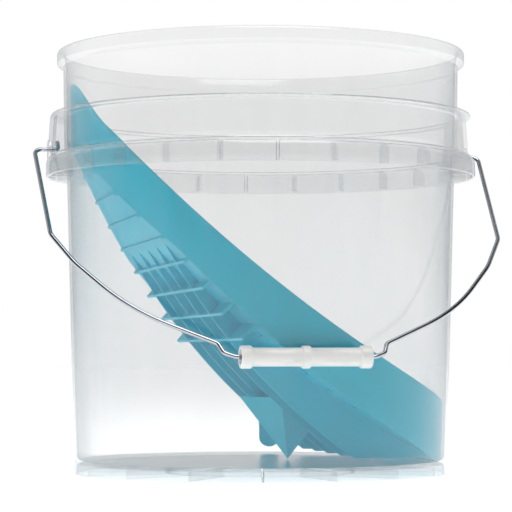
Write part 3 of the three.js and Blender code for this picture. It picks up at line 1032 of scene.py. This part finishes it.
    def guard(self) -> bmesh.types.BMesh:
        """The wall round the ramp's edge, with a rounded upper lip."""
        half = self.wall / 2
        turns = [math.pi * i / self.lip_steps for i in range(self.lip_steps + 1)]
        lip = [(True, half - half * math.cos(a), half * math.sin(a) - half) for a in turns]
        loops = [(False, self.wall, 0), (False, 0, 0), *lip]
        bm = bmesh.new()
        rings = []
        for upper, inset, rise in loops:
            made = bmesh.ops.create_circle(bm, segments=TURN_STEPS, radius=1)["verts"]
            for i, vert in enumerate(made):
                angle = 2 * math.pi * i / TURN_STEPS - math.pi
                vert.co = self.guard_point(angle, upper, inset, rise)
            rings.append({e for v in made for e in v.link_edges})
        for ring, following in zip(rings, rings[1:] + rings[:1]):
            bmesh.ops.bridge_loops(bm, edges=list(ring | following))
        return cleaned(bm)

    def stations(self, offset: float = 0) -> list[tuple[float, float, float]]:
        """Places a ridge pitch apart down the slope: x, z and the lean of the plate there."""
        cx, cz = self.sag.centre()
        head = math.atan2(self.sag.start[1] - cz, self.sag.start[0] - cx)
        toe = math.atan2(self.toe[1] - cz, self.toe[0] - cx)
        pitch = self.ridge_pitch / self.radius
        count = math.ceil((toe - head - 2 * pitch) / pitch)
        angles = [head + pitch * (i + 1) for i in range(count)]
        return [
            (cx + self.radius * math.cos(a + offset * pitch), cz + self.radius * math.sin(a + offset * pitch),
             -a - math.pi / 2)
            for a in angles
        ]

    def ridges(self) -> bmesh.types.BMesh:
        """The washboard's round ridges."""
        lie = Matrix.Rotation(math.pi / 2, 4, "X")
        return gathered(
            rod(self.ridge_radius, self.across, Matrix.Translation((x, 0, z)) @ lie)
            for x, z, _ in self.stations()
        )

    def cross_bars(self) -> bmesh.types.BMesh:
        """Ribs across the underside, below the upper ridges."""
        drop = Matrix.Translation((0, 0, -self.cross_rib_reach / 2))
        size = (self.rib_thickness, self.across, self.cross_rib_reach)
        return gathered(
            block(size, Matrix.Translation((x, 0, z)) @ Matrix.Rotation(lean, 4, "Y") @ drop)
            for x, z, lean in self.stations()[: self.cross_ribs]
        )

    def slots(self) -> bmesh.types.BMesh:
        """Drain slots half-way between ridges, wherever the plate is wide enough."""
        size = (self.slot_width, self.slot_length, 4 * self.plate)
        clear = 2 * self.slot_width
        cuts = []
        half = self.ridge_pitch / 2
        for x, z, lean in self.stations(0.5):
            if x < self.slot_start_x + half:
                continue
            for y in self.slot_columns:
                end = abs(y) + self.slot_length / 2
                if math.hypot(x, end) > self.plate_reach(math.atan2(end, x), z) - clear:
                    continue
                cuts.append(block(size, Matrix.Translation((x, y, z)) @ Matrix.Rotation(lean, 4, "Y")))
        return gathered(cuts)

    def underside(self) -> Solid:
        """Lengthwise and cross ribs."""
        depths = Solid(slab(self.rib_outline(), self.across))
        lower = self.sag.points(self.plate + self.cross_rib_depth)
        shallow = [*self.sag.points(self.plate / 2), *reversed(lower)]
        depths.join(slab(shallow, self.across))
        depths.keep(self.cross_bars())
        for i in range(self.rib_count):
            y = (i - (self.rib_count - 1) / 2) * self.rib_spacing
            depths.join(slab(self.rib_outline(), self.rib_thickness, y))
        return depths

    def whole(self) -> bpy.types.Object:
        """Builds the whole ramp."""
        body = Solid(slab(self.plate_outline(), self.across))
        body.change(self.underside(), Boolean.JOIN)
        body.join(self.ridges())
        keel = Solid(self.keel())
        keel.keep(self.below_plate())
        body.change(keel, Boolean.JOIN)
        body.keep(self.cone(0))
        body.keep(self.flats())
        body.cut(self.slots())
        finger = Solid(slab(self.finger_outline(), self.across / 2, self.across / 4))
        finger.keep(self.cone(0))
        finger.cut(self.cone(self.wall))
        body.change(finger, Boolean.JOIN)
        body.join(self.guard())
        body.change(self.strip(), Boolean.JOIN)
        return body.piece("ramp_moulding")


# ---------------------------------------------------------------- bail and grip


@dataclass
class Bail:
    """The wire bail and the hollow grip on it, which lean on the front of the pail."""

    pail: Pail
    wire_radius: float = 1.6
    drop: float = 211.3
    leg_gap: float = 11.7
    leg_trim: float = 0.3
    hook_length: float = 8.5
    grip_length: float = 90.7
    grip_radius: float = 6.4
    flange_radius: float = 7.8
    flange_length: float = 8
    middle_width: float = 5.6
    edge_round: float = 0.8
    mouth_round: float = 0.4
    wire_gap: float = 0.6
    end_bore: float = 5
    end_depth: float = 10
    wall_gap: float = 0.6
    bend_steps: int = 12
    wire_sides: int = 20

    def __post_init__(self) -> None:
        """Works out where the legs stand and how far the bail leans."""
        pail = self.pail
        self.leg_x = pail.ear_face(pail.pivot_height) + self.leg_gap - self.leg_trim
        self.hook_x = pail.ear_face(pail.pivot_height) - pail.ear_plate - self.wire_radius - 2
        lean = math.atan(pail.lower_draft)
        reach = pail.foot_radius + pail.lower_draft * pail.pivot_height + self.flange_radius + self.wall_gap
        tilt = math.asin(reach / self.drop * math.cos(lean)) - lean
        self.place = Matrix.Translation((0, 0, pail.pivot_height)) @ Matrix.Rotation(-tilt, 4, "X")

    def corners(self) -> list[tuple[float, float, float]]:
        """Corners of one half of the bail, hung straight down: across, below the pivot, bend radius."""
        end = self.grip_length / 2
        leg, drop = self.leg_x, self.drop
        return [
            (self.hook_x, -self.hook_length, 0),
            (self.hook_x, 0, 2.6),
            (leg, 0, 5.5),
            (leg - 4.8, drop - 120, 14),
            (leg - 19.4, drop - 90.6, 60),
            (end + 69.4, drop - 44.7, 140),
            (end + 13.4, drop - 12.6, 5),
            (end + 10.5, drop - 3.8, 4),
            (end + 3, drop, 8),
            (0, drop, 0),
        ]

    def bend(self, before: Vector, corner: Vector, after: Vector, radius: float) -> list[Vector]:
        """An arc of a bend radius in place of a corner.

        Args:
            before, corner, after: Three corners in order.
            radius: The bend's radius.

        Returns:
            The arc's points, which start and end on the two straights.
        """
        inward = (before - corner).normalized()
        outward = (after - corner).normalized()
        half = inward.angle(outward) / 2
        middle = corner + (inward + outward).normalized() * (radius / math.sin(half))
        first = corner + inward * (radius / math.tan(half)) - middle
        last = corner + outward * (radius / math.tan(half)) - middle
        turn = math.pi - 2 * half
        shares = [i / self.bend_steps for i in range(self.bend_steps + 1)]
        return [
            middle + (first * math.sin((1 - s) * turn) + last * math.sin(s * turn)) / math.sin(turn)
            for s in shares
        ]

    def path(self) -> list[Vector]:
        """The wire's whole centreline, from hook to hook."""
        corners = self.corners()
        at = [Vector((across, 0, -below)) for across, below, _ in corners]
        half = [at[0]]
        for i in range(1, len(at) - 1):
            half += self.bend(at[i - 1], at[i], at[i + 1], corners[i][2])
        return half + [Vector((-p.x, 0, p.z)) for p in reversed(half)]

    def wire(self) -> bpy.types.Object:
        """Sweeps the wire: a round section drawn along the centreline, with closed ends."""
        path = self.path()
        bm = bmesh.new()
        loops = []
        for i, point in enumerate(path):
            ahead = (path[min(i + 1, len(path) - 1)] - point).normalized() if i < len(path) - 1 else None
            behind = (point - path[i - 1]).normalized() if i else None
            along = ((ahead or behind) + (behind or ahead)).normalized()
            across = Vector((0, 1, 0))
            turn = Matrix((across.cross(along), across, along)).transposed().to_4x4()
            made = bmesh.ops.create_circle(
                bm, segments=self.wire_sides, radius=self.wire_radius, matrix=Matrix.Translation(point) @ turn
            )["verts"]
            loops.append(list({e for v in made for e in v.link_edges}))
        for loop, following in zip(loops, loops[1:]):
            bmesh.ops.bridge_loops(bm, edges=loop + following)
        for loop in (loops[0], loops[-1]):
            cap = bmesh.ops.contextual_create(bm, geom=loop)["faces"]
            bmesh.ops.bevel(
                bm, geom=loop + cap, offset=0.4, offset_type="OFFSET", segments=2, profile=0.5,
                affect="EDGES", material=-1,
            )
        return Solid(cleaned(bm)).piece("bail_wire_round", self.place, sharp=50)

    def grip_profile(self) -> list[Point]:
        """The grip's section: a tube with a flange at each end and one in the middle, and belled bores."""
        end = self.grip_length / 2
        bore = self.wire_radius + self.wire_gap
        body, flange, half = self.grip_radius, self.flange_radius, self.middle_width / 2
        inner = end - self.flange_length
        edge = self.edge_round
        mouth = self.mouth_round
        right = [
            (flange, half - 0.6),
            (flange - 0.25, half - 0.15),
            (body + 0.35, half + 0.15),
            (body, half + 0.6),
            (body, inner - 0.6),
            (body + 0.3, inner - 0.1),
            (flange - 0.3, inner + 0.5),
            (flange, inner + 1),
            *arc(flange - edge, end - edge, edge, 0, 90, 4),
            *arc(self.end_bore + mouth, end - mouth, mouth, 90, 180, 3),
            (bore + 0.3, end - self.end_depth + 0.6),
            (bore, end - self.end_depth),
        ]
        left = [(r, -z) for r, z in reversed(right)]
        return [*left, *right]

    def grip(self) -> bpy.types.Object:
        """Turns the grip and lays it on the wire."""
        lay = Matrix.Translation((0, 0, -self.drop)) @ Matrix.Rotation(math.pi / 2, 4, "Y")
        return Solid(turned(self.grip_profile(), closed=True, steps=72)).piece(
            "hand_grip", self.place @ lay, sharp=40
        )


# ---------------------------------------------------------------- studio


@dataclass(frozen=True)
class Softbox:
    """A square studio lamp that looks at the middle of the pail, and may show in shiny surfaces."""

    name: str
    place: tuple[float, float, float]
    size: float
    power: float
    colour: str = "#FFFFFF"
    mirrored: bool = False

    def light(self, target: Vector) -> None:
        """Hangs the lamp."""
        lamp = bpy.data.lights.new(self.name, "AREA")
        lamp.shape = "SQUARE"
        lamp.size = self.size
        lamp.energy = self.power
        lamp.color = linear(self.colour)[:3]
        hung = bpy.data.objects.new(self.name, lamp)
        hung.location = self.place
        hung.visible_glossy = self.mirrored
        hung.rotation_euler = (target - Vector(self.place)).to_track_quat("-Z", "Y").to_euler()
        bpy.context.scene.collection.objects.link(hung)


@dataclass
class Studio:
    """A white floor and surround and soft lamps, with the camera low in front and a little to the left."""

    distance: float = 1639
    azimuth: float = -12
    eye_height: float = 87.7
    pitch: float = 2.54
    yaw: float = 0.117
    focal: float = 155.5
    floor_radius: float = 12000
    surround: float = 1.0
    fill: float = 0.8
    room: float = 0.03
    lamps: tuple[Softbox, ...] = (
        Softbox("softbox_left", (-2.6, -0.5, 0.9), 1.6, 24),
        Softbox("softbox_right", (2.6, -0.5, 0.8), 1.6, 20),
        Softbox("softbox_top", (0.1, -0.9, 2.2), 1.6, 36, mirrored=True),
    )

    def floor(self) -> None:
        """Lays the floor."""
        bm = bmesh.new()
        bmesh.ops.create_circle(bm, cap_ends=True, segments=64, radius=self.floor_radius)
        floor = Solid(bm).piece("studio_floor")
        floor.data.materials.append(OpalAcrylic().material())

    def world(self) -> None:
        """Surrounds the scene: white to look at, and dimmer in front so that shiny parts have contrast."""
        world = bpy.data.worlds.new("studio_surround")
        world.use_nodes = True
        tree = world.node_tree
        tree.nodes.clear()
        where = add(tree, "TexCoord", {})
        axes = add(tree, "SeparateXYZ", {}, Vector=where.outputs["Generated"])
        side = add(
            tree, "MapRange",
            {"From Min": -0.1, "From Max": 0.35, "To Min": self.room, "To Max": self.fill},
            Value=axes.outputs["Y"],
        )
        path = add(tree, "LightPath", {})
        level = add(tree, "MixRGB", {"Color2": (self.surround,) * 3 + (1,)},
                    Fac=path.outputs["Is Camera Ray"], Color1=side.outputs[0])
        light = add(tree, "Background", {}, Color=level.outputs[0])
        add(tree, "OutputWorld", {}, Surface=light.outputs[0])
        bpy.context.scene.world = world

    def camera(self) -> None:
        """Stands the camera."""
        data = bpy.data.cameras.new("camera")
        data.sensor_width = 36
        data.lens = self.focal
        data.clip_end = 100
        camera = bpy.data.objects.new("camera", data)
        turn = math.radians(self.azimuth)
        place = Vector((math.sin(turn) * self.distance, -math.cos(turn) * self.distance, self.eye_height))
        camera.location = place * MM
        camera.rotation_euler = (math.radians(90 + self.pitch), 0, turn + math.radians(self.yaw))
        bpy.context.scene.collection.objects.link(camera)
        bpy.context.scene.camera = camera

    def build(self) -> None:
        """Builds the studio."""
        low, high = CAD_BOX
        self.camera()
        self.world()
        self.floor()
        for lamp in self.lamps:
            lamp.light((low + high) / 2)
        scene = bpy.context.scene
        scene.view_settings.view_transform = "Standard"
        scene.cycles.transparent_max_bounces = 32


def main() -> None:
    """Builds the studio and the four pieces in order."""
    logging.basicConfig(level=logging.INFO, format="%(message)s")
    Studio().build()
    pail = Pail()
    carry(pail.shell(), "bucket", "bucket_shell", NaturalPolypropylene().material())
    ramp = WashRamp(pail)
    carry(ramp.whole(), "ramp", "wash_ramp", TealPolypropylene().material())
    bail = Bail(pail)
    carry(bail.wire(), "bail", "bail_wire", ZincPlate().material())
    carry(bail.grip(), "grip", "handle_grip", WhitePolyethylene().material())


if __name__ == "__main__":
    main()
